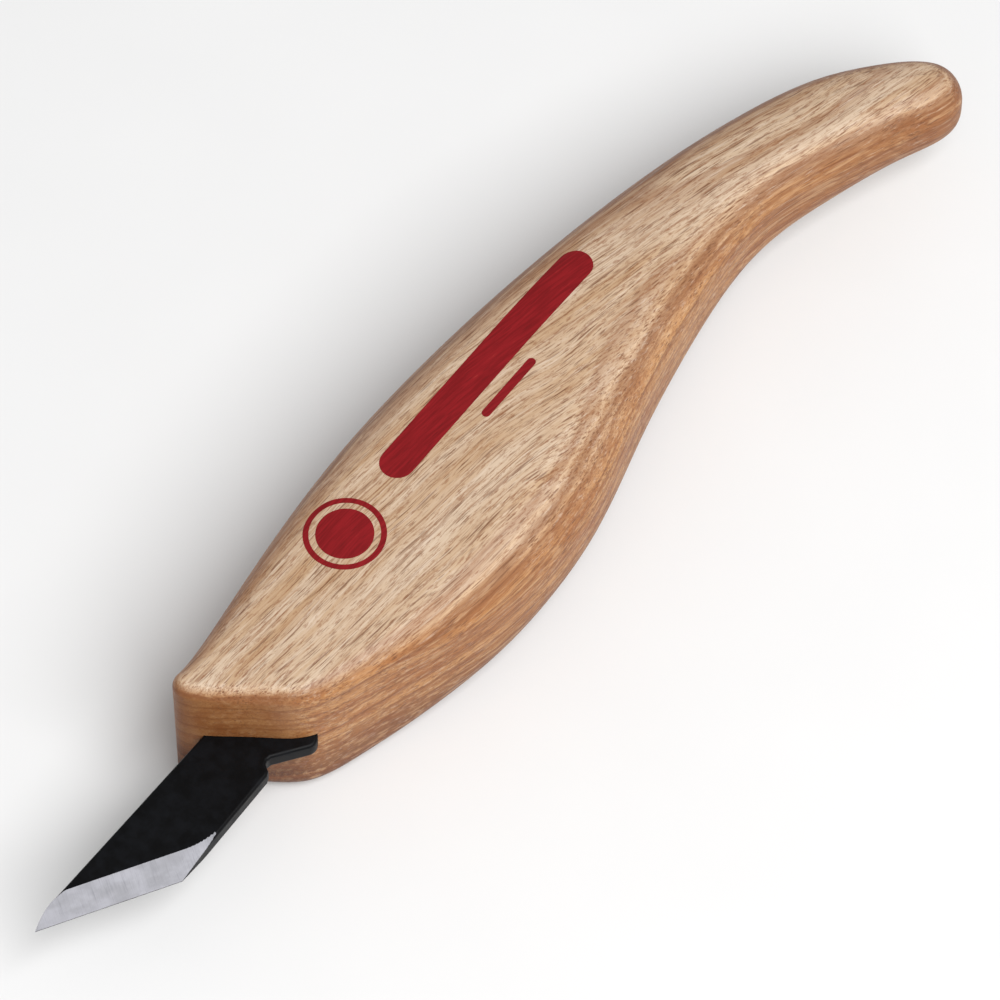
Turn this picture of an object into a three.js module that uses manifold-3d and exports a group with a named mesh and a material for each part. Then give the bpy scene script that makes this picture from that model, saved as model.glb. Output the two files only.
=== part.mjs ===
// A skew block-cutting knife for lino and wood blocks: a hardwood handle shaped to the palm, a steel
// blade plate with a skewed, bevelled edge, and the adhesive that holds the blade's tang in its slot.
// Millimetres, +Z up. The knife lies on its side, with the blade plate level.
// The drawing's datum is where the blade's centre line enters the wood, at mid thickness:
// +X runs along the handle to the butt, and +Y to the knife's back.
import * as THREE from "three";
import { mergeVertices } from "three/addons/utils/BufferGeometryUtils.js";
import Module from "manifold-3d";

// ---- Handle ----
// The outline's length and breadth are over its control points, which stand a little outside the wood.
const HANDLE_LENGTH = 135.5;
const HANDLE_BREADTH = 32.5;
const HANDLE_THICKNESS = 23; // from the nose to past the palm swell
const TAIL_THICKNESS = 12; // at the butt
const TAPER_START = 55; // the handle thins from here
const TAPER_END = 126; // to here
const EDGE_RISE = 1.25; // a rounded edge's height over its width in plan
const EDGE_STEPS = 6; // facets on a rounded edge
const SPAN_STEPS = 6; // facets on one span of the outline

// The outline is a closed cubic B-spline, anticlockwise from the nose's back corner.
// Each row is a control point, x and y, and how far the edge is rounded over there.
const PATTERN_LENGTH = 135.5;
const PATTERN_BREADTH = 32.5;
const PATTERN = [
  // the nose, where the blade comes out
  [-7, 6.5, 1.5],
  [0.5, -0.5, 2],
  [4, -5.5, 2],
  [12.5, -7, 2.5],
  [17.5, -8, 3],
  // the palm swell
  [25, -9.5, 5],
  [35, -10.5, 7],
  [50.5, -8, 8],
  // the hollow behind it, and the tail
  [63.5, -1.5, 7],
  [79, 4, 6],
  [94, 8, 4.5],
  [106, 5.5, 4.5],
  // the butt
  [115.5, 3.5, 4.5],
  [124.5, 0, 3.8],
  [128.5, 8, 4.2],
  [118, 15.5, 4.8],
  [110.5, 19, 5.5],
  // the arched back
  [93, 22, 6],
  [62, 21.5, 6],
  [29.5, 19.5, 6],
  [-2.5, 8.5, 3.5],
  [-4, 9, 1.5],
];

// ---- Blade, one plate with its tang ----
const BLADE_CANT = 8.15; // degrees between the blade's centre line and the handle's
const BLADE_REACH = 35.3; // tip to datum
const ROOT_WIDTH = 9.2; // blade width at the datum
const TIP_WIDTH = 10.5; // blade width at the tip's end
const PLATE_THICKNESS = 2.3;
const PLATE_EDGE = 0.35; // softened edges of the plate
const PLATE_EDGE_STEPS = 2; // facets on a softened edge
const SKEW_ANGLE = 31.7; // degrees between the cutting edge and the centre line
const BEVEL_WIDTH = 3.3; // ground bevel, square to the cutting edge
const EDGE_LAND = 0.1; // thickness left at the cutting edge
const TIP_DROP_LENGTH = 5; // the back curves down to the tip over this length
const TIP_DROP_LIFT = 0.6; // how much that curve bulges
const CHOIL_SETBACK = 1.7; // bottom of the notch before the shoulder, ahead of the datum
const CHOIL_LENGTH = 1; // from the notch's bottom to the blade's belly edge
const CHOIL_DEPTH = 1.2;
const SHOULDER_OVERHANG = 1.8; // the shoulder stands out past the blade's belly edge
const SHOULDER_LENGTH = 4; // from the datum to the end of the shoulder's slope
const SHOULDER_ROUND = 1.4; // radius of the shoulder's corner
const TANG_WIDTH = 7.4;
const TANG_LENGTH = 27; // datum to the tang's end
const KEYHOLE_RADIUS = 1.7; // the adhesive keys into a hole open to the tang's end
const KEYHOLE_MOUTH = 2;
const KEYHOLE_SETBACK = 5; // the hole's centre, from the tang's end

// ---- Slot and adhesive ----
const FIT_GAP = 0.3; // between the wood, the plate and the adhesive
const SLOT_END_GAP = 3; // filled space past the tang's end
const SLOT_CORNER = 2.5; // radius of the slot's inner corners
const SLOT_OVERRUN = 12; // the slot is cut clear through the nose
const ARC_STEPS = 5; // facets on a quarter of a small arc

const WELD_DISTANCE = 1e-4; // corners closer than this are one corner

const wasm = await Module();
wasm.setup();

// ---- Solids ----
function solidOf(geometry) {
  const bare = geometry.index ? geometry.toNonIndexed() : geometry.clone();
  bare.deleteAttribute("normal");
  bare.deleteAttribute("uv");
  const merged = mergeVertices(bare, WELD_DISTANCE);
  return new wasm.Manifold(
    new wasm.Mesh({
      numProp: 3,
      vertProperties: new Float32Array(merged.attributes.position.array),
      triVerts: new Uint32Array(merged.index.array),
    }),
  );
}

function geometryOf(solid) {
  const mesh = solid.getMesh();
  const geometry = new THREE.BufferGeometry();
  geometry.setAttribute("position", new THREE.BufferAttribute(mesh.vertProperties, 3));
  geometry.setIndex(new THREE.BufferAttribute(mesh.triVerts, 1));
  geometry.computeVertexNormals();
  return geometry;
}

// A flat shape made into a slab, centred on the blade's plane.
function slab(shape, thickness, soften = 0) {
  const geometry = new THREE.ExtrudeGeometry(shape, {
    depth: thickness - 2 * soften,
    curveSegments: ARC_STEPS,
    bevelEnabled: soften > 0,
    bevelThickness: soften,
    bevelSize: soften,
    bevelOffset: -soften,
    bevelSegments: PLATE_EDGE_STEPS,
  });
  return geometry.translate(0, 0, soften - thickness / 2);
}

// ---- Handle ----
// Outline samples, each with its place, outward direction, edge rounding and half thickness.
function outlineSamples() {
  const stretchX = HANDLE_LENGTH / PATTERN_LENGTH;
  const stretchY = HANDLE_BREADTH / PATTERN_BREADTH;
  const points = PATTERN.map(([x, y, edge]) => new THREE.Vector3(x * stretchX, y * stretchY, edge));
  const samples = [];
  points.forEach((_, i) => {
    const [a, b, c, d] = [0, 1, 2, 3].map((k) => points[(i + k) % points.length]);
    for (let step = 0; step < SPAN_STEPS; step++) {
      samples.push(splineSample(a, b, c, d, step / SPAN_STEPS));
    }
  });
  return samples;
}

function splineSample(a, b, c, d, t) {
  const weigh = (wa, wb, wc, wd) =>
    new THREE.Vector3()
      .addScaledVector(a, wa)
      .addScaledVector(b, wb)
      .addScaledVector(c, wc)
      .addScaledVector(d, wd);
  const u = 1 - t;
  const place = weigh(
    u ** 3 / 6,
    (3 * t ** 3 - 6 * t ** 2 + 4) / 6,
    (3 * u ** 3 - 6 * u ** 2 + 4) / 6,
    t ** 3 / 6,
  );
  const slope = weigh(-(u ** 2) / 2, (3 * t ** 2 - 4 * t) / 2, (1 + 2 * t - 3 * t ** 2) / 2, t ** 2 / 2);
  const along = new THREE.Vector2(slope.x, slope.y).normalize();
  const half = halfThickness(place.x);
  return { x: place.x, y: place.y, outX: along.y, outY: -along.x, edge: place.z, half };
}

function halfThickness(x) {
  const taper = THREE.MathUtils.smoothstep(x, TAPER_START, TAPER_END);
  return THREE.MathUtils.lerp(HANDLE_THICKNESS, TAIL_THICKNESS, taper) / 2;
}

// The rounded rim at one sample, from the lower face's border to the upper face's.
function rimPoints(sample) {
  const rise = Math.min(sample.edge * EDGE_RISE, sample.half);
  const rim = [];
  for (const side of [-1, 1]) {
    for (let step = 0; step <= EDGE_STEPS; step++) {
      const turn = (Math.PI / 2) * (side < 0 ? 1 - step / EDGE_STEPS : step / EDGE_STEPS);
      const inset = sample.edge * (1 - Math.cos(turn));
      const z = side * (sample.half - rise + rise * Math.sin(turn));
      rim.push([sample.x - sample.outX * inset, sample.y - sample.outY * inset, z]);
    }
  }
  return rim;
}

// Joins a closed border's two sides with triangles, walking from its nose to its butt.
function capTriangles(border) {
  const count = border.length;
  const xs = border.map((p) => p[0]);
  const nose = xs.indexOf(Math.min(...xs));
  const triangles = [];
  let belly = nose;
  let back = nose;
  for (let steps = 1; steps < count; steps++) {
    const nextBelly = (belly + 1) % count;
    const nextBack = (back - 1 + count) % count;
    if (xs[nextBelly] < xs[nextBack]) {
      triangles.push([belly, nextBelly, back]);
      belly = nextBelly;
    } else {
      triangles.push([belly, nextBack, back]);
      back = nextBack;
    }
  }
  return triangles.filter((t) => new Set(t).size === 3);
}

function handleBlank() {
  const rims = outlineSamples().map(rimPoints);
  const rows = rims[0].length;
  const count = rims.length;
  const index = [];
  for (let i = 0; i < count; i++) {
    const here = i * rows;
    const next = ((i + 1) % count) * rows;
    for (let row = 0; row + 1 < rows; row++) {
      index.push(here + row, next + row, next + row + 1);
      index.push(here + row, next + row + 1, here + row + 1);
    }
  }
  const top = rows - 1;
  for (const [a, b, c] of capTriangles(rims.map((rim) => rim[top]))) {
    index.push(a * rows + top, b * rows + top, c * rows + top);
  }
  for (const [a, b, c] of capTriangles(rims.map((rim) => rim[0]))) {
    index.push(a * rows, c * rows, b * rows);
  }
  const geometry = new THREE.BufferGeometry();
  geometry.setAttribute("position", new THREE.Float32BufferAttribute(rims.flat(2), 3));
  geometry.setIndex(index);
  return geometry;
}

// ---- Slot, in the blade's own frame: x along the centre line, from the datum ----
const slotBack = ROOT_WIDTH / 2 + FIT_GAP;
const slotBelly = ROOT_WIDTH / 2 + SHOULDER_OVERHANG + FIT_GAP;
const slotEnd = TANG_LENGTH + SLOT_END_GAP;

// The slot's plan, shrunk by a gap all round, from a given start to its closed end.
function slotPlan(start, shrink) {
  const low = shrink - slotBelly;
  const high = slotBack - shrink;
  const end = slotEnd - shrink;
  const plan = new THREE.Shape();
  plan.moveTo(start, low);
  plan.lineTo(end - SLOT_CORNER, low);
  plan.absarc(end - SLOT_CORNER, low + SLOT_CORNER, SLOT_CORNER, -Math.PI / 2, 0);
  plan.absarc(end - SLOT_CORNER, high - SLOT_CORNER, SLOT_CORNER, 0, Math.PI / 2);
  plan.lineTo(start, high);
  plan.closePath();
  return plan;
}

function makeHandle() {
  const cutter = slab(slotPlan(-SLOT_OVERRUN, 0), PLATE_THICKNESS + 2 * FIT_GAP);
  cutter.rotateZ(THREE.MathUtils.degToRad(BLADE_CANT));
  return geometryOf(solidOf(handleBlank()).subtract(solidOf(cutter)));
}

// ---- Blade ----
const shoulderHalf = ROOT_WIDTH / 2 + SHOULDER_OVERHANG;
const keyholeX = TANG_LENGTH - KEYHOLE_SETBACK;

// The tang's plan grown by a gap: the outside steps out, and the keyhole closes in.
function tangEdge(plan, grow) {
  const half = TANG_WIDTH / 2 + grow;
  const mouth = KEYHOLE_MOUTH / 2 - grow;
  const radius = KEYHOLE_RADIUS - grow;
  const turn = Math.asin(mouth / radius);
  plan.lineTo(TANG_LENGTH + grow, -half);
  plan.lineTo(TANG_LENGTH + grow, -mouth);
  plan.absarc(keyholeX, 0, radius, -turn, turn, true);
  plan.lineTo(TANG_LENGTH + grow, mouth);
  plan.lineTo(TANG_LENGTH + grow, half);
}

function bladePlan() {
  const back = (x) => THREE.MathUtils.mapLinear(x, 0, -BLADE_REACH, ROOT_WIDTH, TIP_WIDTH) / 2;
  const tip = new THREE.Vector2(-BLADE_REACH, ROOT_WIDTH / 2);
  const run = Math.tan(THREE.MathUtils.degToRad(SKEW_ANGLE));
  const heelY = -back(tip.x + ROOT_WIDTH / run);
  const dropX = tip.x + TIP_DROP_LENGTH;
  const plan = new THREE.Shape();
  plan.moveTo(tip.x, tip.y);
  plan.lineTo(tip.x + (tip.y - heelY) / run, heelY);
  plan.lineTo(-CHOIL_SETBACK - CHOIL_LENGTH, -back(-CHOIL_SETBACK));
  plan.lineTo(-CHOIL_SETBACK, CHOIL_DEPTH - ROOT_WIDTH / 2);
  plan.lineTo(SHOULDER_LENGTH - SHOULDER_ROUND, -shoulderHalf);
  plan.absarc(SHOULDER_LENGTH, SHOULDER_ROUND - shoulderHalf, SHOULDER_ROUND, -Math.PI / 2, 0);
  plan.lineTo(SHOULDER_LENGTH + SHOULDER_ROUND, -TANG_WIDTH / 2);
  tangEdge(plan, 0);
  plan.lineTo(SHOULDER_LENGTH, TANG_WIDTH / 2);
  plan.lineTo(SHOULDER_LENGTH, ROOT_WIDTH / 2);
  plan.lineTo(dropX, back(dropX));
  plan.quadraticCurveTo(tip.x + TIP_DROP_LENGTH / 2, back(dropX) + TIP_DROP_LIFT / 2, tip.x, tip.y);
  return plan;
}

// The stuff that grinding takes off one face of the bevel: a block tilted about the cutting edge,
// long and deep enough to clear the plate all round.
function grindBlock(side) {
  const rise = (PLATE_THICKNESS - EDGE_LAND) / 2;
  const reach = 3 * TIP_WIDTH;
  const depth = 2 * PLATE_THICKNESS;
  const block = new THREE.BoxGeometry(2 * reach, reach, depth);
  block.translate(0, reach / 2 - depth, (side * depth) / 2);
  block.rotateX(side * Math.atan(rise / BEVEL_WIDTH));
  block.translate(0, 0, (side * EDGE_LAND) / 2);
  block.rotateZ(-THREE.MathUtils.degToRad(SKEW_ANGLE));
  return solidOf(block.translate(-BLADE_REACH, ROOT_WIDTH / 2, 0));
}

function makeBlade() {
  let plate = solidOf(slab(bladePlan(), PLATE_THICKNESS, PLATE_EDGE));
  for (const side of [-1, 1]) {
    plate = plate.subtract(grindBlock(side));
  }
  return geometryOf(plate);
}

// ---- Adhesive: it fills the slot behind the shoulder, round the tang and in its keyhole ----
function makeAdhesive() {
  const start = SHOULDER_LENGTH + SHOULDER_ROUND + FIT_GAP;
  const fill = solidOf(slab(slotPlan(start, FIT_GAP), PLATE_THICKNESS));
  const tang = new THREE.Shape();
  tang.moveTo(start - SLOT_CORNER, -TANG_WIDTH / 2 - FIT_GAP);
  tangEdge(tang, FIT_GAP);
  tang.lineTo(start - SLOT_CORNER, TANG_WIDTH / 2 + FIT_GAP);
  tang.closePath();
  return geometryOf(fill.subtract(solidOf(slab(tang, 2 * PLATE_THICKNESS))));
}

// ---- Materials ----
const wood = new THREE.MeshStandardMaterial({ color: 0xd8b184, roughness: 0.42, metalness: 0 });
const steel = new THREE.MeshStandardMaterial({ color: 0x1b1c1f, roughness: 0.4, metalness: 0.7 });
const epoxy = new THREE.MeshStandardMaterial({ color: 0xb99b62, roughness: 0.3, metalness: 0 });

// ---- Assembly ----
function namedMesh(name, geometry, material) {
  const mesh = new THREE.Mesh(geometry, material);
  mesh.name = name;
  return mesh;
}

const knife = new THREE.Group();
knife.add(namedMesh("handle", makeHandle(), wood));

const bladeSet = new THREE.Group();
bladeSet.rotation.z = THREE.MathUtils.degToRad(BLADE_CANT);
bladeSet.add(namedMesh("blade", makeBlade(), steel));
bladeSet.add(namedMesh("tang_adhesive", makeAdhesive(), epoxy));
knife.add(bladeSet);

// The origin is the middle of the whole knife's box in plan, on the surface it lies on.
const box = new THREE.Box3().setFromObject(knife, true);
const middle = box.getCenter(new THREE.Vector3());
knife.position.set(-middle.x, -middle.y, -box.min.z);

const part = new THREE.Group();
part.add(knife);

export default part;
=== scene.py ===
"""A skew block-cutting knife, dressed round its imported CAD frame: a lacquered ash handle shaped to the palm,
a black steel blade with a ground skew edge, the adhesive round its tang, and a plain printed mark."""
import math

import bmesh
import bpy
import numpy as np
from mathutils import Matrix, Vector
from mathutils.bvhtree import BVHTree


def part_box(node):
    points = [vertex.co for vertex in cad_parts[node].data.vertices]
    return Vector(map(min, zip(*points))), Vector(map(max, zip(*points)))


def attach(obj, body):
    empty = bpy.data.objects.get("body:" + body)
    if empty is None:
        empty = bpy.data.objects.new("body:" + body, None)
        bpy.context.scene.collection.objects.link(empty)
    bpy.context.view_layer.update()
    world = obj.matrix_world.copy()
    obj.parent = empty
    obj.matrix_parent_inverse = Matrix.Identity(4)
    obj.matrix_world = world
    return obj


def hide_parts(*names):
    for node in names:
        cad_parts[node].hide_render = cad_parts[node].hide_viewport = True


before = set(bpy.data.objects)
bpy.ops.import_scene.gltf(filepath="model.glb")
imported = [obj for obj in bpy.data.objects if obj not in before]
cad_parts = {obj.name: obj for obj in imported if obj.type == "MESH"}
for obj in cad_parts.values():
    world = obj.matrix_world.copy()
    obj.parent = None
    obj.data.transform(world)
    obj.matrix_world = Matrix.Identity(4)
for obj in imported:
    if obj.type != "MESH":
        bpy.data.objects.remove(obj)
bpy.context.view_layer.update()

MM = 0.001

# ---- Drawing sizes, in millimetres. The datum is where the blade's centre line enters the wood, at mid
# ---- thickness: +X runs along the handle to the butt, +Y to the knife's back, +Z up.
HANDLE_THICKNESS = 23
TAIL_THICKNESS = 12
TAPER_START = 55
TAPER_END = 126
EDGE_RISE = 1.25  # a rounded edge's height over its width in plan
CROWN = 0.3  # how far the broad faces fall from their middle to their rounded edges
CROWN_WIDTH = 16  # a face narrower than this has less crown

# Control points of the handle's outline, a closed cubic B-spline: x, y, edge rounding.
OUTLINE = [
    # the nose, where the blade comes out
    (-7, 6.5, 1.5), (0.5, -0.5, 2), (4, -5.5, 2), (12.5, -7, 2.5), (17.5, -8, 3),
    # the palm swell
    (25, -9.5, 5), (35, -10.5, 7), (50.5, -8, 8),
    # the hollow behind it, and the tail
    (63.5, -1.5, 7), (79, 4, 6), (94, 8, 4.5), (106, 5.5, 4.5),
    # the butt
    (115.5, 3.5, 4.5), (124.5, 0, 3.8), (128.5, 8, 4.2), (118, 15.5, 4.8), (110.5, 19, 5.5),
    # the arched back
    (93, 22, 6), (62, 21.5, 6), (29.5, 19.5, 6), (-2.5, 8.5, 3.5), (-4, 9, 1.5),
]
SPAN_STEPS = 24  # outline samples on one span
EDGE_STEPS = 14  # facets on a rounded edge
FACE_LOOPS = (0.22, 0.45, 0.68, 0.9)  # loops across a broad face, as shares of the way to its middle line

BLADE_CANT = math.radians(8.15)
BLADE_REACH = 35.3
ROOT_WIDTH = 9.2
TIP_WIDTH = 10.5
PLATE_THICKNESS = 2.3
PLATE_EDGE = 0.42  # rounding of the plate's edges
EDGE_TAPER = 4  # it comes in over this length from the tip
TIP_EDGE_SHARE = 0.12  # what is left of it at the tip
SKEW_ANGLE = math.radians(31.7)
BEVEL_WIDTH = 3.3
BEVEL_FLARE = 0.6  # the ground face is this much wider where it runs out at the heel
FLARE_LENGTH = 3.5
EDGE_LAND = 0.1
TIP_DROP_LENGTH = 5
TIP_DROP_LIFT = 0.6
CHOIL_SETBACK = 1.7  # bottom of the notch before the shoulder, ahead of the datum
CHOIL_LENGTH = 1
CHOIL_DEPTH = 1.2
SHOULDER_OVERHANG = 1.95  # the shoulder stands out past the blade's belly edge
SHOULDER_LENGTH = 4  # where the tang narrows on its back side
SHOULDER_END = 3.6  # centre of the shoulder's round corner
SHOULDER_ROUND = 1.4
SHOULDER_SWEEP = math.radians(125)  # how far that corner turns from the slope to the tang
TANG_WIDTH = 7.4
TANG_LENGTH = 27
KEYHOLE_RADIUS = 1.7
KEYHOLE_MOUTH = 2
KEYHOLE_SETBACK = 5
SLOT_FIT = 0.06  # the slot shows as a hairline round the plate
SLOT_END_GAP = 3
SLOT_CORNER = 2  # radius of the pocket's inner corners
SLOT_OVERRUN = 12  # the slot is cut clear through the nose
POCKET_SIDE = 1.3  # adhesive beside the tang
ADHESIVE_GAP = 0.05
ARC_STEPS = 12  # facets on a round corner of a plan
PLATE_EDGE_STEPS = 5  # facets on a plate's rounded edge


# ---- Meshes ----
def mesh_object(name, vertices, faces):
    mesh = bpy.data.meshes.new(name)
    mesh.from_pydata([tuple(v) for v in vertices], [], faces)
    mesh.validate()
    made = bpy.data.objects.new(name, mesh)
    bpy.context.scene.collection.objects.link(made)
    return made


def strip_faces(row_count, count):
    """Four-sided faces between closed loops of points, each loop joined to the next."""
    faces = []
    for r in range(row_count - 1):
        for i in range(count):
            j = (i + 1) % count
            faces.append((r * count + i, r * count + j, (r + 1) * count + j, (r + 1) * count + i))
    return faces


def apply_modifiers(piece):
    graph = bpy.context.evaluated_depsgraph_get()
    done = bpy.data.meshes.new_from_object(piece.evaluated_get(graph))
    piece.modifiers.clear()
    piece.data = done


def cut(piece, cutter):
    """Takes the cutter's solid out of the piece, and the cutter out of the scene."""
    step = piece.modifiers.new("cut", "BOOLEAN")
    step.object = cutter
    step.operation = "DIFFERENCE"
    step.solver = "EXACT"
    step.material_mode = "TRANSFER"
    apply_modifiers(piece)
    bpy.data.objects.remove(cutter)


def shade(piece, sharp_degrees):
    """Smooth shading with sharp edges past an angle and between materials, and broad faces kept flat."""
    mesh = piece.data
    mesh.shade_smooth()
    mesh.set_sharp_from_angle(angle=math.radians(sharp_degrees))
    materials_at = {}
    for polygon in mesh.polygons:
        for key in polygon.edge_keys:
            materials_at.setdefault(key, set()).add(polygon.material_index)
    for edge in mesh.edges:
        if len(materials_at.get(edge.key, ())) > 1:
            edge.use_edge_sharp = True
    weigh = piece.modifiers.new("flat_faces", "WEIGHTED_NORMAL")
    weigh.keep_sharp = True
    apply_modifiers(piece)


def smoothstep(x, low, high):
    t = np.clip((x - low) / (high - low), 0, 1)
    return t * t * (3 - 2 * t)


def half_thickness(x):
    taper = smoothstep(x, TAPER_START, TAPER_END)
    return (HANDLE_THICKNESS + (TAIL_THICKNESS - HANDLE_THICKNESS) * taper) / 2


def outline_samples():
    """Places on the outline, outward directions and edge roundings, anticlockwise."""
    points = np.array(OUTLINE, float)
    t = np.arange(SPAN_STEPS) / SPAN_STEPS
    u = 1 - t
    weights = np.stack([u**3, 3 * t**3 - 6 * t**2 + 4, 3 * u**3 - 6 * u**2 + 4, t**3], 1) / 6
    slopes = np.stack([-(u**2), 3 * t**2 - 4 * t, 1 + 2 * t - 3 * t**2, t**2], 1) / 2
    spans = points[(np.arange(len(points))[:, None] + np.arange(4)) % len(points)]
    place = np.einsum("sk,nkc->nsc", weights, spans).reshape(-1, 3)
    slope = np.einsum("sk,nkc->nsc", slopes, spans).reshape(-1, 3)
    along = slope[:, :2] / np.linalg.norm(slope[:, :2], axis=1)[:, None]
    outward = np.stack([along[:, 1], -along[:, 0]], 1)
    return place[:, :2], outward, place[:, 2]


def middle_line(border):
    """The y half way between a border's belly side and its back side, for each of its points."""
    nose, butt = border[:, 0].argmin(), border[:, 0].argmax()
    turned = np.roll(border, -nose, axis=0)
    split = (butt - nose) % len(border)
    belly = turned[: split + 1]
    back = np.vstack([turned[split:], turned[:1]])[::-1]
    return (
        np.interp(border[:, 0], belly[:, 0], belly[:, 1])
        + np.interp(border[:, 0], back[:, 0], back[:, 1])
    ) / 2


def zip_triangles(border):
    """Triangles across a narrow closed border, walking both its sides from the nose to the butt."""
    count = len(border)
    xs = border[:, 0]
    belly = back = int(xs.argmin())
    triangles = []
    for _ in range(count - 1):
        next_belly, next_back = (belly + 1) % count, (back - 1) % count
        if xs[next_belly] < xs[next_back]:
            triangles.append((belly, next_belly, back))
            belly = next_belly
        else:
            triangles.append((belly, next_back, back))
            back = next_back
    return [t for t in triangles if len(set(t)) == 3]


def handle_rows():
    """Closed loops of points from the lower face's middle, round the rim, to the upper face's middle."""
    place, outward, edge = outline_samples()
    half = half_thickness(place[:, 0])
    rise = np.minimum(edge * EDGE_RISE, half - CROWN)
    upper = []
    for turn in np.linspace(0, math.pi / 2, EDGE_STEPS + 1):
        spot = place - outward * (edge * (1 - math.cos(turn)))[:, None]
        upper.append(np.column_stack([spot, half - CROWN - rise + rise * math.sin(turn)]))
    border = upper[-1][:, :2]
    to_middle = middle_line(border) - border[:, 1]
    crown = CROWN * smoothstep(np.abs(to_middle), 0, CROWN_WIDTH / 2)
    for share in FACE_LOOPS:
        z = half_thickness(border[:, 0]) - CROWN + crown * (1 - (1 - share) ** 2)
        upper.append(np.column_stack([border[:, 0], border[:, 1] + share * to_middle, z]))
    lower = [row * (1, 1, -1) for row in reversed(upper)]
    return lower + upper


def handle_blank():
    rows = handle_rows()
    count = len(rows[0])
    faces = strip_faces(len(rows), count)
    top = (len(rows) - 1) * count
    for a, b, c in zip_triangles(rows[-1]):
        faces.append((top + a, top + b, top + c))
        faces.append((a, c, b))
    return mesh_object("handle_body", np.vstack(rows), faces)


# ---- Plates: a flat plan given thickness, with rounded edges ----
def arc(x, y, radius, start, end, steps=ARC_STEPS):
    return [(x + radius * math.cos(a), y + radius * math.sin(a)) for a in np.linspace(start, end, steps + 1)]


def inset(points, distances):
    """The closed anticlockwise outline moved inwards, each point by its own distance."""
    here = np.array(points, float)
    ahead = np.roll(here, -1, axis=0) - here
    ahead /= np.linalg.norm(ahead, axis=1)[:, None]
    behind = np.roll(ahead, 1, axis=0)
    inward_a = np.stack([-ahead[:, 1], ahead[:, 0]], 1)
    inward_b = np.stack([-behind[:, 1], behind[:, 0]], 1)
    total = inward_a + inward_b
    return here + total * (distances / (1 + (inward_a * inward_b).sum(1)))[:, None]


def plate(name, points, thickness, edges=None):
    """A slab centred on z = 0, from an anticlockwise outline and each of its points' edge rounding."""
    rows = []
    turns = [0.0] if edges is None else np.linspace(0, math.pi / 2, PLATE_EDGE_STEPS + 1)
    edges = np.zeros(len(points)) if edges is None else edges
    for turn in turns:
        spot = inset(points, edges * (1 - math.cos(turn)))
        rows.append(np.column_stack([spot, thickness / 2 - edges + edges * math.sin(turn)]))
    rows = [row * (1, 1, -1) for row in reversed(rows)] + rows
    count = len(points)
    faces = strip_faces(len(rows), count)
    top = (len(rows) - 1) * count
    faces.append(tuple(range(top, top + count)))
    faces.append(tuple(reversed(range(count))))
    return mesh_object(name, np.vstack(rows), faces)


def pocket_plan(start, fit):
    """The slot's plan from a given start: close round the shoulder, then a roomy pocket for the tang."""
    shoulder = ROOT_WIDTH / 2 + SHOULDER_OVERHANG
    low, high = -TANG_WIDTH / 2 - POCKET_SIDE + fit, ROOT_WIDTH / 2 + SLOT_FIT - fit
    end = TANG_LENGTH + SLOT_END_GAP - fit
    mouth = [(start, low)]
    if start < 0:
        mouth = [
            (start, -shoulder - SLOT_FIT),
            *arc(SHOULDER_END, SHOULDER_ROUND - shoulder, SHOULDER_ROUND + SLOT_FIT, -math.pi / 2, 0)[:-1],
            (SHOULDER_END + SHOULDER_ROUND + SLOT_FIT, low),
        ]
    return [
        *mouth,
        *arc(end - SLOT_CORNER, low + SLOT_CORNER, SLOT_CORNER, -math.pi / 2, 0),
        *arc(end - SLOT_CORNER, high - SLOT_CORNER, SLOT_CORNER, 0, math.pi / 2),
        (start, high),
    ]


def blade_back(x):
    return (ROOT_WIDTH + (TIP_WIDTH - ROOT_WIDTH) * -x / BLADE_REACH) / 2


def tang_end(grow):
    """The tang's end with its keyhole, grown all round by a gap."""
    half, mouth, radius = TANG_WIDTH / 2 + grow, KEYHOLE_MOUTH / 2 - grow, KEYHOLE_RADIUS - grow
    turn = math.asin(mouth / radius)
    return [
        (TANG_LENGTH + grow, -half),
        (TANG_LENGTH + grow, -mouth),
        *arc(TANG_LENGTH - KEYHOLE_SETBACK, 0, radius, -turn, turn - 2 * math.pi),
        (TANG_LENGTH + grow, mouth),
        (TANG_LENGTH + grow, half),
    ]


def blade_plan():
    shoulder = ROOT_WIDTH / 2 + SHOULDER_OVERHANG
    run = math.tan(SKEW_ANGLE)
    heel_y = -blade_back(-BLADE_REACH + ROOT_WIDTH / run)
    drop_x = -BLADE_REACH + TIP_DROP_LENGTH
    choil_start = -CHOIL_SETBACK - CHOIL_LENGTH
    belly = -blade_back(-CHOIL_SETBACK)
    choil_top = CHOIL_DEPTH - ROOT_WIDTH / 2
    plan = [
        (-BLADE_REACH, ROOT_WIDTH / 2),
        (-BLADE_REACH + (ROOT_WIDTH / 2 - heel_y) / run, heel_y),
        # the notch before the shoulder, with its corners eased
        (choil_start - 0.5, belly + 0.02),
        (choil_start + 0.1, belly + 0.25),
        (-CHOIL_SETBACK - 0.35, choil_top - 0.15),
        (-CHOIL_SETBACK + 0.1, choil_top),
        (-CHOIL_SETBACK + 0.7, choil_top - 0.1),
        *arc(SHOULDER_END, SHOULDER_ROUND - shoulder, SHOULDER_ROUND, -SHOULDER_SWEEP, 0),
        (SHOULDER_END + SHOULDER_ROUND, -TANG_WIDTH / 2),
        *tang_end(0),
        (SHOULDER_LENGTH, TANG_WIDTH / 2),
        (SHOULDER_LENGTH, ROOT_WIDTH / 2),
    ]
    # the back curves down to the tip
    for t in np.linspace(0, 1, 9)[:-1]:
        u = 1 - t
        x = u * u * drop_x + 2 * u * t * (drop_x - TIP_DROP_LENGTH / 2) + t * t * -BLADE_REACH
        lift = blade_back(drop_x) + TIP_DROP_LIFT / 2
        y = u * u * blade_back(drop_x) + 2 * u * t * lift + t * t * ROOT_WIDTH / 2
        plan.append((x, y))
    return plan


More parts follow.
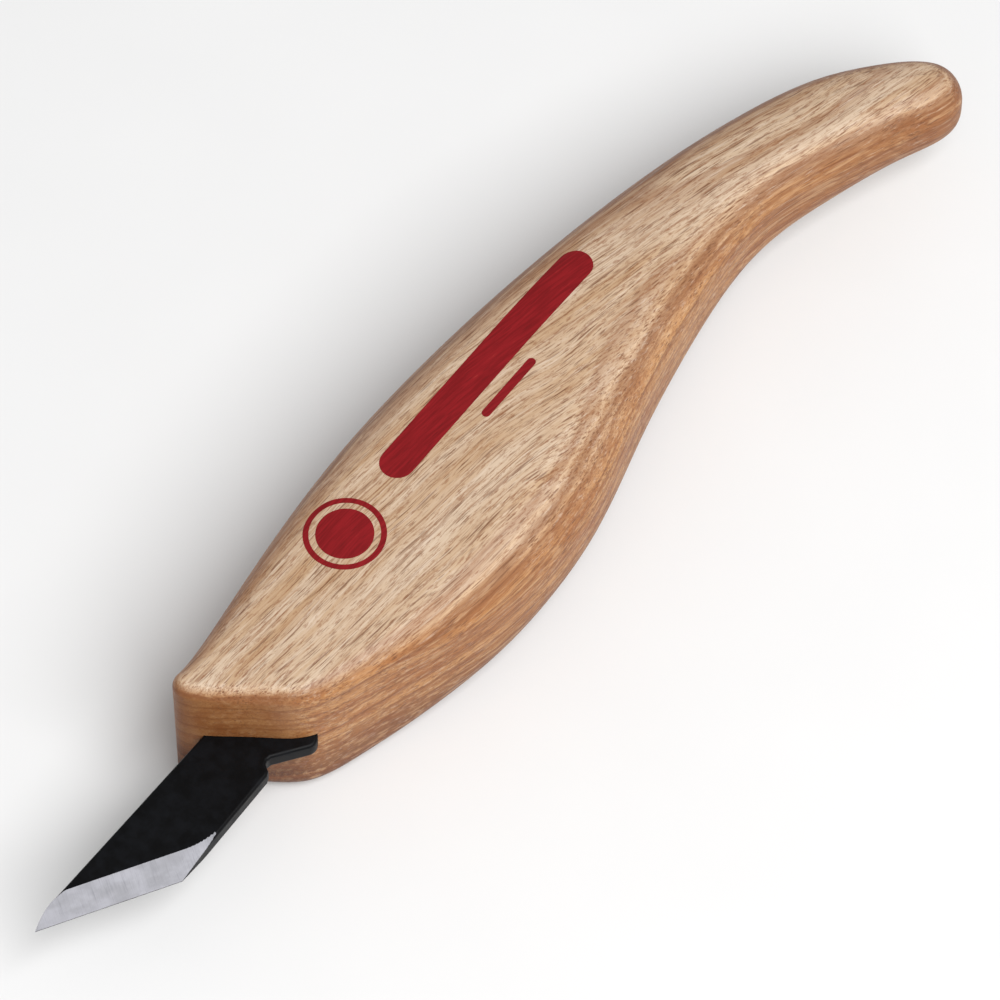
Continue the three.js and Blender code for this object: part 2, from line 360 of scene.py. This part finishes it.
def grinder(side):
    """The stuff that grinding takes off one face. Its working surface widens towards the heel."""
    before_tip, past_heel, station_count = -4, 30, 69
    stations = np.linspace(before_tip, past_heel, station_count)
    heel = (ROOT_WIDTH / 2 + blade_back(-BLADE_REACH / 2)) / math.sin(SKEW_ANGLE)
    run_out = heel + BEVEL_WIDTH / math.tan(SKEW_ANGLE)
    width = BEVEL_WIDTH + BEVEL_FLARE * np.clip((stations - run_out + FLARE_LENGTH) / FLARE_LENGTH, 0, 2) ** 2
    rise = (PLATE_THICKNESS - EDGE_LAND) / 2
    land = EDGE_LAND / 2
    low, reach, top = -4, 9, 12
    rows = []
    for across, height in ((low, None), (reach, None), (reach, top), (low, top)):
        level = land + rise * across / width if height is None else np.full(len(stations), height)
        rows.append(np.column_stack([stations, np.full(len(stations), across), side * level]))
    count = len(stations)
    faces = []
    for r in range(4):
        for i in range(count - 1):
            here, after = r * count + i, (r + 1) % 4 * count + i
            faces.append((here, here + 1, after + 1, after))
    faces.append(tuple(r * count for r in range(4)))
    faces.append(tuple((r + 1) * count - 1 for r in reversed(range(4))))
    tool = mesh_object("grinder", np.vstack(rows), faces)
    turn = Matrix.Rotation(-SKEW_ANGLE, 4, "Z")
    tool.data.transform(Matrix.Translation((-BLADE_REACH, ROOT_WIDTH / 2, 0)) @ turn)
    shell = bmesh.new()
    shell.from_mesh(tool.data)
    bmesh.ops.recalc_face_normals(shell, faces=shell.faces)
    shell.to_mesh(tool.data)
    shell.free()
    return tool


# ---- Shader nodes ----
def tone(red, green, blue):
    """A colour given in display values, 0 to 255, as linear light."""
    linear = [c / 255 / 12.92 if c <= 10 else ((c / 255 + 0.055) / 1.055) ** 2.4 for c in (red, green, blue)]
    return (*linear, 1.0)


class Shader:
    """One material's node tree. A value given to an input is a number, a colour or another node's output."""

    def __init__(self, name):
        self.material = bpy.data.materials.new(name)
        self.material.use_nodes = True
        self.tree = self.material.node_tree
        self.surface = self.tree.nodes["Principled BSDF"]

    def put(self, socket, value):
        if isinstance(value, bpy.types.NodeSocket):
            self.tree.links.new(value, socket)
        else:
            socket.default_value = value

    def add(self, kind, inputs, **settings):
        made = self.tree.nodes.new("ShaderNode" + kind)
        for name, value in settings.items():
            setattr(made, name, value)
        for name, value in inputs.items():
            self.put(made.inputs[name], value)
        return made

    def math(self, operation, a, b=0.0, c=0.0):
        return self.add("Math", {0: a, 1: b, 2: c}, operation=operation).outputs[0]

    def vector(self, operation, a, b, c=(0, 0, 0)):
        made = self.add("VectorMath", {0: a, 1: b}, operation=operation)
        if operation == "MULTIPLY_ADD":
            self.put(made.inputs[2], c)
        return made.outputs[0]

    def noise(self, place, scale, detail=2.0, roughness=0.5):
        stretched = self.vector("MULTIPLY", place, scale)
        inputs = {"Vector": stretched, "Scale": 1.0, "Detail": detail, "Roughness": roughness}
        return self.add("TexNoise", inputs).outputs["Fac"]

    def cells(self, place, scale):
        stretched = self.vector("MULTIPLY", place, scale)
        return self.add("TexVoronoi", {"Vector": stretched, "Scale": 1.0})

    def span(self, value, low, high, out_low=0.0, out_high=1.0, smooth=True):
        inputs = {0: value, 1: low, 2: high, 3: out_low, 4: out_high}
        kind = "SMOOTHSTEP" if smooth else "LINEAR"
        return self.add("MapRange", inputs, interpolation_type=kind).outputs[0]

    def blend(self, share, a, b, mode="MIX"):
        made = self.add("Mix", {}, data_type="RGBA", blend_type=mode)
        self.put(made.inputs["Factor"], share)
        for socket, value in zip([s for s in made.inputs if s.type == "RGBA"], (a, b)):
            self.put(socket, value)
        return next(s for s in made.outputs if s.type == "RGBA")

    def ramp(self, value, stops):
        made = self.add("ValToRGB", {0: value})
        points = made.color_ramp.elements
        while len(points) < len(stops):
            points.new(0.5)
        for point, (position, colour) in zip(points, stops):
            point.position = position
            point.color = colour
        return made.outputs[0]

    def finish(self, **inputs):
        for name, value in inputs.items():
            self.put(self.surface.inputs[name.replace("_", " ")], value)
        return self.material


# ---- Places ----
samples, _, _ = outline_samples()
handle_low, handle_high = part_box("handle")
DATUM = Vector((
    handle_high.x - samples[:, 0].max() * MM,
    handle_low.y - samples[:, 1].min() * MM,
    (handle_low.z + handle_high.z) / 2,
))
to_frame = Matrix.Translation(DATUM) @ Matrix.Scale(MM, 4)
blade_to_frame = to_frame @ Matrix.Rotation(BLADE_CANT, 4, "Z")


# ---- Materials ----
def drawing_millimetres(shader):
    place = shader.add("TexCoord", {}).outputs["Object"]
    return shader.vector("MULTIPLY_ADD", place, (1 / MM,) * 3, tuple(-DATUM / MM))


GRAIN_LEAN = 0.085  # slope of the fibres across the drawing, at the datum
GRAIN_BEND = 0.00085  # how that slope eases along the handle
LAYER_FALL = 4.6  # how far the growth layers sink towards the tail


def grain_space(shader):
    """Millimetres with x along the fibres. The grain leans at the nose, and its layers follow the tail."""
    place = drawing_millimetres(shader)
    parts = shader.add("SeparateXYZ", {0: place}).outputs
    x, y, z = parts[0], parts[1], parts[2]
    lean = shader.math("MULTIPLY", x, GRAIN_LEAN)
    bend = shader.math("MULTIPLY", shader.math("MULTIPLY", x, x), GRAIN_BEND)
    across = shader.math("ADD", shader.math("SUBTRACT", y, lean), bend)
    wander = shader.noise(place, (0.03, 0.06, 0.06), 2.0)
    across = shader.math("MULTIPLY_ADD", wander, 4.0, across)
    layer = shader.math("ADD", z, shader.span(x, TAPER_START, TAPER_END, 0.0, LAYER_FALL))
    return shader.add("CombineXYZ", {0: x, 1: across, 2: layer}).outputs[0], x, across, layer


# Every tone of the wood is scaled by this. It offsets the strong lights that keep the floor near white,
# so the wood's colours are matched to the photo and are not measured ones.
WOOD_SCALE = (0.74, 0.72, 0.71, 1)
RING_THICKNESS = 3.1  # one growth layer
PALE_LINE_LAYER = 10.55  # a pale line runs round the belly at this height
BROWN_LINE_LAYER = 9.6  # and a brown one just below it
BAND_SPACING = 2.3  # brown lines seen edge-on down the walls


def growth(s, grain, x, across, layer):
    """Shares of late and early wood. The layers lie flat under the broad faces, edge-on at the sides."""
    bow = s.math("POWER", s.math("MULTIPLY_ADD", across, 0.05, -0.62), 2.0)
    depth = s.math("MULTIPLY_ADD", bow, -1.15, layer)
    tilt = s.math("MULTIPLY", s.math("SUBTRACT", across, 10.0), s.span(x, 50.0, 112.0, 0.0, 0.6))
    depth = s.math("ADD", depth, tilt)
    depth = s.math("MULTIPLY_ADD", s.noise(grain, (0.02, 0.1, 0.1), 3.0), 3.2, depth)
    depth = s.math("MULTIPLY_ADD", s.noise(grain, (0.12, 0.9, 0.9), 3.0), 0.9, depth)
    turn = s.math("FRACT", s.math("MULTIPLY_ADD", depth, 1 / RING_THICKNESS, 0.12))
    late = s.ramp(turn, [
        (0.0, (0.6, 0.6, 0.6, 1)), (0.07, (0.0, 0.0, 0.0, 1)), (0.5, (0.1, 0.1, 0.1, 1)),
        (0.8, (0.5, 0.5, 0.5, 1)), (0.93, (1, 1, 1, 1)), (1.0, (0.9, 0.9, 0.9, 1)),
    ])
    return late, s.span(turn, 0.5, 0.1)


def layer_line(s, height, at, outer, inner, share):
    """One line of the grain, which fades out from its inner distance to its outer one from a height."""
    line = s.span(s.math("ABSOLUTE", s.math("SUBTRACT", height, at)), outer, inner)
    return s.math("MULTIPLY", line, share)


def pores(s, grain, early, streak, end_grain):
    """Short open vessels in three sizes, drawn out along the fibres and thicker in the early wood."""
    pore = None
    for scale, reach, kept, share in (
        ((0.11, 2.5, 2.5), 0.34, 0.45, 0.7),
        ((0.2, 3.6, 3.6), 0.36, 0.4, 0.62),
        ((0.4, 5.2, 5.2), 0.36, 0.3, 0.5),
    ):
        cell = s.cells(grain, scale)
        mark = s.span(cell.outputs["Distance"], reach, reach * 0.45)
        chance = s.add("SeparateColor", {0: cell.outputs["Color"]}).outputs[0]
        chance = s.math("MULTIPLY_ADD", early, 0.2, s.math("MULTIPLY_ADD", streak, 0.5, chance))
        chance = s.math("SUBTRACT", chance, s.math("MULTIPLY_ADD", end_grain, 0.3, 0.2))
        mark = s.math("MULTIPLY", mark, s.span(chance, kept, kept + 0.5, 0.0, share))
        pore = mark if pore is None else s.math("MAXIMUM", pore, mark)
    return pore


def wood():
    s = Shader("lacquered_ash")
    grain, x, across, layer = grain_space(s)
    late, early = growth(s, grain, x, across, layer)
    height = s.math("MULTIPLY_ADD", s.noise(grain, (0.05, 0.3, 0.3), 3.0), 1.6, layer)
    behind_nose = s.span(x, 14.0, 26.0)
    pale_line = layer_line(s, height, PALE_LINE_LAYER, 0.24, 0.06, behind_nose)
    brown_line = layer_line(s, height, BROWN_LINE_LAYER, 0.8, 0.1, behind_nose)

    # how far the surface is from lying along the layers: side grain and end grain drink more finish
    facing = s.add("TexCoord", {}).outputs["Normal"]
    normal = s.add("SeparateXYZ", {0: facing}).outputs
    edge_grain = s.span(s.math("ABSOLUTE", normal[2]), 0.99, 0.25)
    end_grain = s.span(s.math("ABSOLUTE", normal[0]), 0.4, 0.95)
    not_end_grain = s.math("SUBTRACT", 1.0, end_grain)

    # ground tones of the faces, the walls and the nose, then painted shade on the lower layers, the nose's
    # underside and the back wall
    streak = s.noise(grain, (0.02, 0.36, 0.36), 3.0, 0.55)
    body = s.blend(s.span(streak, 0.35, 0.66), tone(227, 204, 177), tone(207, 173, 136))
    side = s.blend(s.span(streak, 0.33, 0.7), tone(212, 156, 98), tone(176, 112, 58))
    colour = s.blend(edge_grain, body, side)
    colour = s.blend(s.math("MULTIPLY", end_grain, 0.7), colour, tone(134, 84, 48))
    # painted shade: the wood darkens towards its lower layers, standing in for the shade under the handle
    low_shade = s.span(layer, 1.0, -9.5, 0.0, 0.9)
    colour = s.blend(low_shade, colour, tone(96, 42, 14))
    # painted shade: the nose's end grain darkens towards its underside
    nose_low_shade = s.math("MULTIPLY", end_grain, s.span(layer, 2.0, -8.0, 0.0, 0.85))
    colour = s.blend(nose_low_shade, colour, tone(62, 26, 8))
    tail_wall = s.math("MULTIPLY", edge_grain, s.span(x, 84.0, 112.0, 0.0, 0.55))
    colour = s.blend(tail_wall, colour, tone(146, 88, 50))
    # painted shade: walls that face the knife's back, away from the key light, are darkened
    back_wall_shade = s.span(normal[1], 0.15, 0.7, 0.0, 0.5)
    colour = s.blend(back_wall_shade, colour, tone(176, 108, 56))

    # growth layers
    late_share = s.math("MULTIPLY", late, s.span(edge_grain, 0.0, 1.0, 0.45, 0.7, False))
    colour = s.blend(late_share, colour, tone(146, 88, 46))
    colour = s.blend(s.math("MULTIPLY", brown_line, 0.55), colour, tone(132, 76, 38))
    colour = s.blend(s.math("MULTIPLY", pale_line, 0.42), colour, tone(238, 208, 172))

    # fibres, dark and pale, then flecks and fine threads
    fibre = s.noise(grain, (0.1, 2.4, 2.4), 5.0, 0.7)
    colour = s.blend(s.span(fibre, 0.5, 0.7, 0.0, 0.62), colour, tone(168, 118, 76))
    pale_room = s.math("MAXIMUM", s.math("MULTIPLY_ADD", edge_grain, -0.45, not_end_grain), 0.0)
    pale_fibre = s.math("MULTIPLY", s.span(fibre, 0.47, 0.3, 0.0, 0.55), pale_room)
    colour = s.blend(pale_fibre, colour, tone(240, 222, 202))
    fleck = s.noise(grain, (0.6, 3.6, 3.6), 4.0, 0.75)
    colour = s.blend(s.span(fleck, 0.51, 0.64, 0.0, 0.6), colour, tone(146, 90, 50))
    thread = s.noise(grain, (0.06, 4.5, 4.5), 3.0, 0.7)
    colour = s.blend(s.span(thread, 0.53, 0.64, 0.0, 0.55), colour, tone(134, 80, 42))

    # the walls: pale streaks of painted sheen, and brown lines along them
    mottle = s.noise(grain, (0.14, 1.5, 1.5), 3.0, 0.65)
    # painted sheen in pale streaks on the side grain, kept off the end grain
    wall_sheen_share = s.math("MULTIPLY", edge_grain, s.span(mottle, 0.52, 0.34, 0.0, 0.36))
    wall_sheen_share = s.math("MULTIPLY", wall_sheen_share, not_end_grain)
    colour = s.blend(wall_sheen_share, colour, tone(236, 196, 150))
    band = s.math("FRACT", s.math("MULTIPLY_ADD", height, 1 / BAND_SPACING, 0.2))
    band_share = s.math("MULTIPLY", edge_grain, s.span(band, 0.72, 0.98, 0.0, 0.5))
    colour = s.blend(band_share, colour, tone(128, 72, 34))

    pore = pores(s, grain, early, streak, end_grain)
    colour = s.blend(pore, colour, tone(118, 70, 36))
    colour = s.blend(1.0, colour, WOOD_SCALE, "MULTIPLY")

    relief = s.math("MULTIPLY_ADD", pore, -1.0, s.math("MULTIPLY", fibre, 0.5))
    bump = s.add("Bump", {"Strength": 0.5, "Distance": 0.00008, "Height": relief})
    return s.finish(
        Base_Color=colour,
        Roughness=s.span(fibre, 0.3, 0.7, 0.44, 0.6, False),
        Normal=bump.outputs[0],
        Specular_IOR_Level=0.3,
        Coat_Weight=0.1,
        Coat_Roughness=0.25,
    )


def black_steel():
    s = Shader("black_oxide_steel")
    place = drawing_millimetres(s)
    mottle = s.noise(place, (0.6, 0.6, 0.6), 5.0, 0.65)
    speck = s.noise(place, (5.0, 5.0, 5.0), 3.0, 0.6)
    colour = s.blend(s.span(mottle, 0.35, 0.68), tone(7, 7, 8), tone(13, 14, 17))
    grit = s.math("MULTIPLY_ADD", mottle, 0.6, speck)
    bump = s.add("Bump", {"Strength": 0.25, "Distance": 0.00004, "Height": grit})
    return s.finish(
        Base_Color=colour,
        Metallic=0.0,
        Roughness=s.span(mottle, 0.3, 0.7, 0.34, 0.5, False),
        Normal=bump.outputs[0],
        Specular_IOR_Level=0.1,
    )


def ground_steel():
    s = Shader("ground_steel")
    turned = {"Vector": drawing_millimetres(s), "Angle": SKEW_ANGLE - BLADE_CANT}
    place = s.add("VectorRotate", turned, rotation_type="Z_AXIS").outputs[0]
    lines = s.noise(place, (9.0, 0.35, 0.35), 4.0, 0.7)
    cloud = s.noise(place, (0.35, 0.7, 0.7), 3.0, 0.5)
    colour = s.blend(s.span(cloud, 0.3, 0.7), tone(117, 117, 121), tone(130, 130, 135))
    colour = s.blend(s.span(lines, 0.52, 0.75, 0.0, 0.45), colour, tone(101, 101, 107))
    bump = s.add("Bump", {"Strength": 0.3, "Distance": 0.00002, "Height": lines})
    return s.finish(
        Base_Color=colour,
        Metallic=1.0,
        Roughness=s.span(lines, 0.3, 0.7, 0.4, 0.52, False),
        Normal=bump.outputs[0],
    )


def epoxy():
    s = Shader("amber_epoxy")
    place = drawing_millimetres(s)
    cloud = s.noise(place, (0.5, 0.5, 0.5), 4.0, 0.6)
    colour = s.blend(s.span(cloud, 0.35, 0.7), tone(176, 140, 78), tone(204, 176, 120))
    bump = s.add("Bump", {"Strength": 0.2, "Distance": 0.00005, "Height": cloud})
    return s.finish(Base_Color=colour, Roughness=0.28, Normal=bump.outputs[0])


def ink():
    s = Shader("print_ink")
    grain, _, _, _ = grain_space(s)
    fibre = s.noise(grain, (0.2, 3.2, 3.2), 4.0, 0.65)
    cell = s.cells(grain, (0.3, 2.4, 2.4))
    colour = s.blend(s.span(fibre, 0.35, 0.66), tone(112, 10, 15), tone(132, 18, 24))
    colour = s.blend(s.span(fibre, 0.66, 0.78, 0.0, 0.5), colour, tone(186, 82, 66))
    colour = s.blend(s.span(cell.outputs["Distance"], 0.28, 0.1, 0.0, 0.5), colour, tone(92, 10, 12))
    bump = s.add("Bump", {"Strength": 0.25, "Distance": 0.00005, "Height": fibre})
    return s.finish(Base_Color=colour, Roughness=0.5, Normal=bump.outputs[0], Specular_IOR_Level=0.2)


# ---- Handle ----
handle = handle_blank()
handle.data.transform(to_frame)
handle.data.materials.append(wood())
slot_cutter = plate("slot_cutter", pocket_plan(-SLOT_OVERRUN, 0), PLATE_THICKNESS + 2 * SLOT_FIT)
slot_cutter.data.transform(blade_to_frame)
slot_cutter.data.materials.append(handle.data.materials[0])
cut(handle, slot_cutter)
shade(handle, 40)
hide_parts("handle")
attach(handle, "root")

# ---- Blade ----
steel, ground = black_steel(), ground_steel()
plan = np.array(blade_plan())
from_tip = np.linalg.norm(plan - plan[0], axis=1)
edge_rounding = PLATE_EDGE * np.clip(from_tip / EDGE_TAPER, TIP_EDGE_SHARE, 1)
blade = plate("blade_plate", plan, PLATE_THICKNESS, edge_rounding)
blade.data.materials.append(steel)
for side in (-1, 1):
    tool = grinder(side)
    tool.data.materials.append(ground)
    cut(blade, tool)
blade.data.transform(blade_to_frame)
shade(blade, 30)
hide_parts("blade")
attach(blade, "root")

# ---- Adhesive: it fills the pocket round the tang and in its keyhole ----
fill_start = SHOULDER_END + SHOULDER_ROUND + ADHESIVE_GAP
adhesive = plate("adhesive_fill", pocket_plan(fill_start, ADHESIVE_GAP), PLATE_THICKNESS)
room_start, room_side = fill_start - SLOT_CORNER, TANG_WIDTH / 2 + ADHESIVE_GAP
tang_room = [(room_start, -room_side), *tang_end(ADHESIVE_GAP), (room_start, room_side)]
cut(adhesive, plate("tang_room", tang_room, 2 * PLATE_THICKNESS))
adhesive.data.transform(blade_to_frame)
adhesive.data.materials.clear()
adhesive.data.materials.append(epoxy())
shade(adhesive, 35)
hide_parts("tang_adhesive")
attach(adhesive, "root")

# ---- Printed mark: a ringed dot, a long stripe and a short one, laid on the upper face ----
PRINT_LIFT = 0.03  # the film lies this far off the wood
PRINT_TURN = math.radians(8.2)  # the stripes' direction
DOT_PLACE = (22.9, 7.6)
STRIPE_START = (34.2, 10.2)
RULE_START = (46.5, 7.6)
red_ink = ink()
surface = BVHTree.FromPolygons(
    [v.co for v in handle.data.vertices], [tuple(p.vertices) for p in handle.data.polygons]
)


def lay_print(name, rings, open_middle=False):
    """A thin film on the handle's upper face, from loops of plan points, the first the outermost."""
    points = []
    for ring in rings:
        for x, y in ring:
            above = to_frame @ Vector((x, y, HANDLE_THICKNESS))
            hit, normal, _, _ = surface.ray_cast(above, Vector((0, 0, -1)))
            points.append(hit + normal * PRINT_LIFT * MM)
    count = len(rings[0])
    faces = strip_faces(len(rings), count)
    if not open_middle:
        inner = (len(rings) - 1) * count
        faces += [(inner + a, inner + b, inner + c) for a, b, c in zip_triangles(np.array(rings[-1]))]
    film = mesh_object(name, points, faces)
    film.data.materials.append(red_ink)
    film.data.shade_smooth()
    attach(film, "root")


def disc_rings(x, y, radii):
    """Round loops about a point, which share their count of points."""
    steps = 96
    return [arc(x, y, r, 0, 2 * math.pi * (steps - 1) / steps, steps - 1) for r in radii]


def stripe_rings(x, y, length, width):
    """Loops of a round-ended stripe that starts at a point and runs along the print's own direction."""
    ring_count, inmost_share, along_steps = 6, 0.02, 60
    rings = []
    for share in np.linspace(1, inmost_share, ring_count):
        radius = width / 2 * share
        along = np.linspace(0, length, along_steps)
        loop = [(t, -radius) for t in along]
        loop += arc(length, 0, radius, -math.pi / 2, math.pi / 2)[1:-1]
        loop += [(t, radius) for t in along[::-1]]
        loop += arc(0, 0, radius, math.pi / 2, 3 * math.pi / 2)[1:-1]
        c, s = math.cos(PRINT_TURN), math.sin(PRINT_TURN)
        rings.append([(x + px * c - py * s, y + px * s + py * c) for px, py in loop])
    return rings


lay_print("print_ring", disc_rings(*DOT_PLACE, (5.0, 4.8, 4.5, 4.3)), open_middle=True)
lay_print("print_dot", disc_rings(*DOT_PLACE, (3.5, 2.6, 1.7, 0.8, 0.02)))
lay_print("print_stripe", stripe_rings(*STRIPE_START, length=35.5, width=4.4))
lay_print("print_rule", stripe_rings(*RULE_START, length=9.0, width=1.1))

# ---- Floor, light and camera ----
floor_shader = Shader("floor_paper")
floor_speck = floor_shader.noise(floor_shader.add("TexCoord", {}).outputs["Object"], (40, 40, 40), 3.0)
floor_colour = floor_shader.blend(floor_speck, tone(219, 219, 219), tone(223, 223, 223))
FLOOR_HALF = 4  # metres
floor_corners = [(FLOOR_HALF * x, FLOOR_HALF * y, 0) for x, y in ((-1, -1), (1, -1), (1, 1), (-1, 1))]
floor = mesh_object("floor", floor_corners, [(0, 1, 2, 3)])
floor.data.materials.append(floor_shader.finish(Base_Color=floor_colour, Roughness=0.9))


def soft_light(name, direction, distance, size, energy):
    """A square soft box that points at the knife from a direction, at a distance in metres."""
    lamp = bpy.data.lights.new(name, "AREA")
    lamp.shape = "SQUARE"
    lamp.size = size
    lamp.energy = energy
    made = bpy.data.objects.new(name, lamp)
    away = Vector(direction).normalized()
    made.location = away * distance
    made.rotation_euler = away.to_track_quat("Z", "Y").to_euler()
    bpy.context.scene.collection.objects.link(made)


soft_light("key", (-0.04, -0.56, 0.83), distance=1.1, size=0.85, energy=15.3)
soft_light("fill", (-0.9, -0.25, 0.45), distance=1.3, size=0.8, energy=0.8)

WORLD_STRENGTH = 0.42
world = bpy.data.worlds.new("studio")
world.use_nodes = True
world.node_tree.nodes["Background"].inputs["Color"].default_value = (1, 1, 1, 1)
world.node_tree.nodes["Background"].inputs["Strength"].default_value = WORLD_STRENGTH
bpy.context.scene.world = world
bpy.context.scene.view_settings.view_transform = "Standard"

CAMERA_AZIMUTH = math.radians(-45)
CAMERA_ELEVATION = math.radians(59)
CAMERA_DISTANCE = 0.9
LENS = 269.6  # millimetres, on a 36 mm sensor
SENSOR = 36
LOOK_AT = (43.98, 2.76, 0)  # on the drawing
target = to_frame @ Vector(LOOK_AT)
back = Vector((
    math.sin(CAMERA_AZIMUTH) * math.cos(CAMERA_ELEVATION),
    -math.cos(CAMERA_AZIMUTH) * math.cos(CAMERA_ELEVATION),
    math.sin(CAMERA_ELEVATION),
))
lens = bpy.data.cameras.new("camera")
lens.sensor_width = SENSOR
lens.lens = LENS
camera = bpy.data.objects.new("camera", lens)
camera.location = target + back * CAMERA_DISTANCE
camera.rotation_euler = back.to_track_quat("Z", "Y").to_euler()
bpy.context.scene.collection.objects.link(camera)
bpy.context.scene.camera = camera
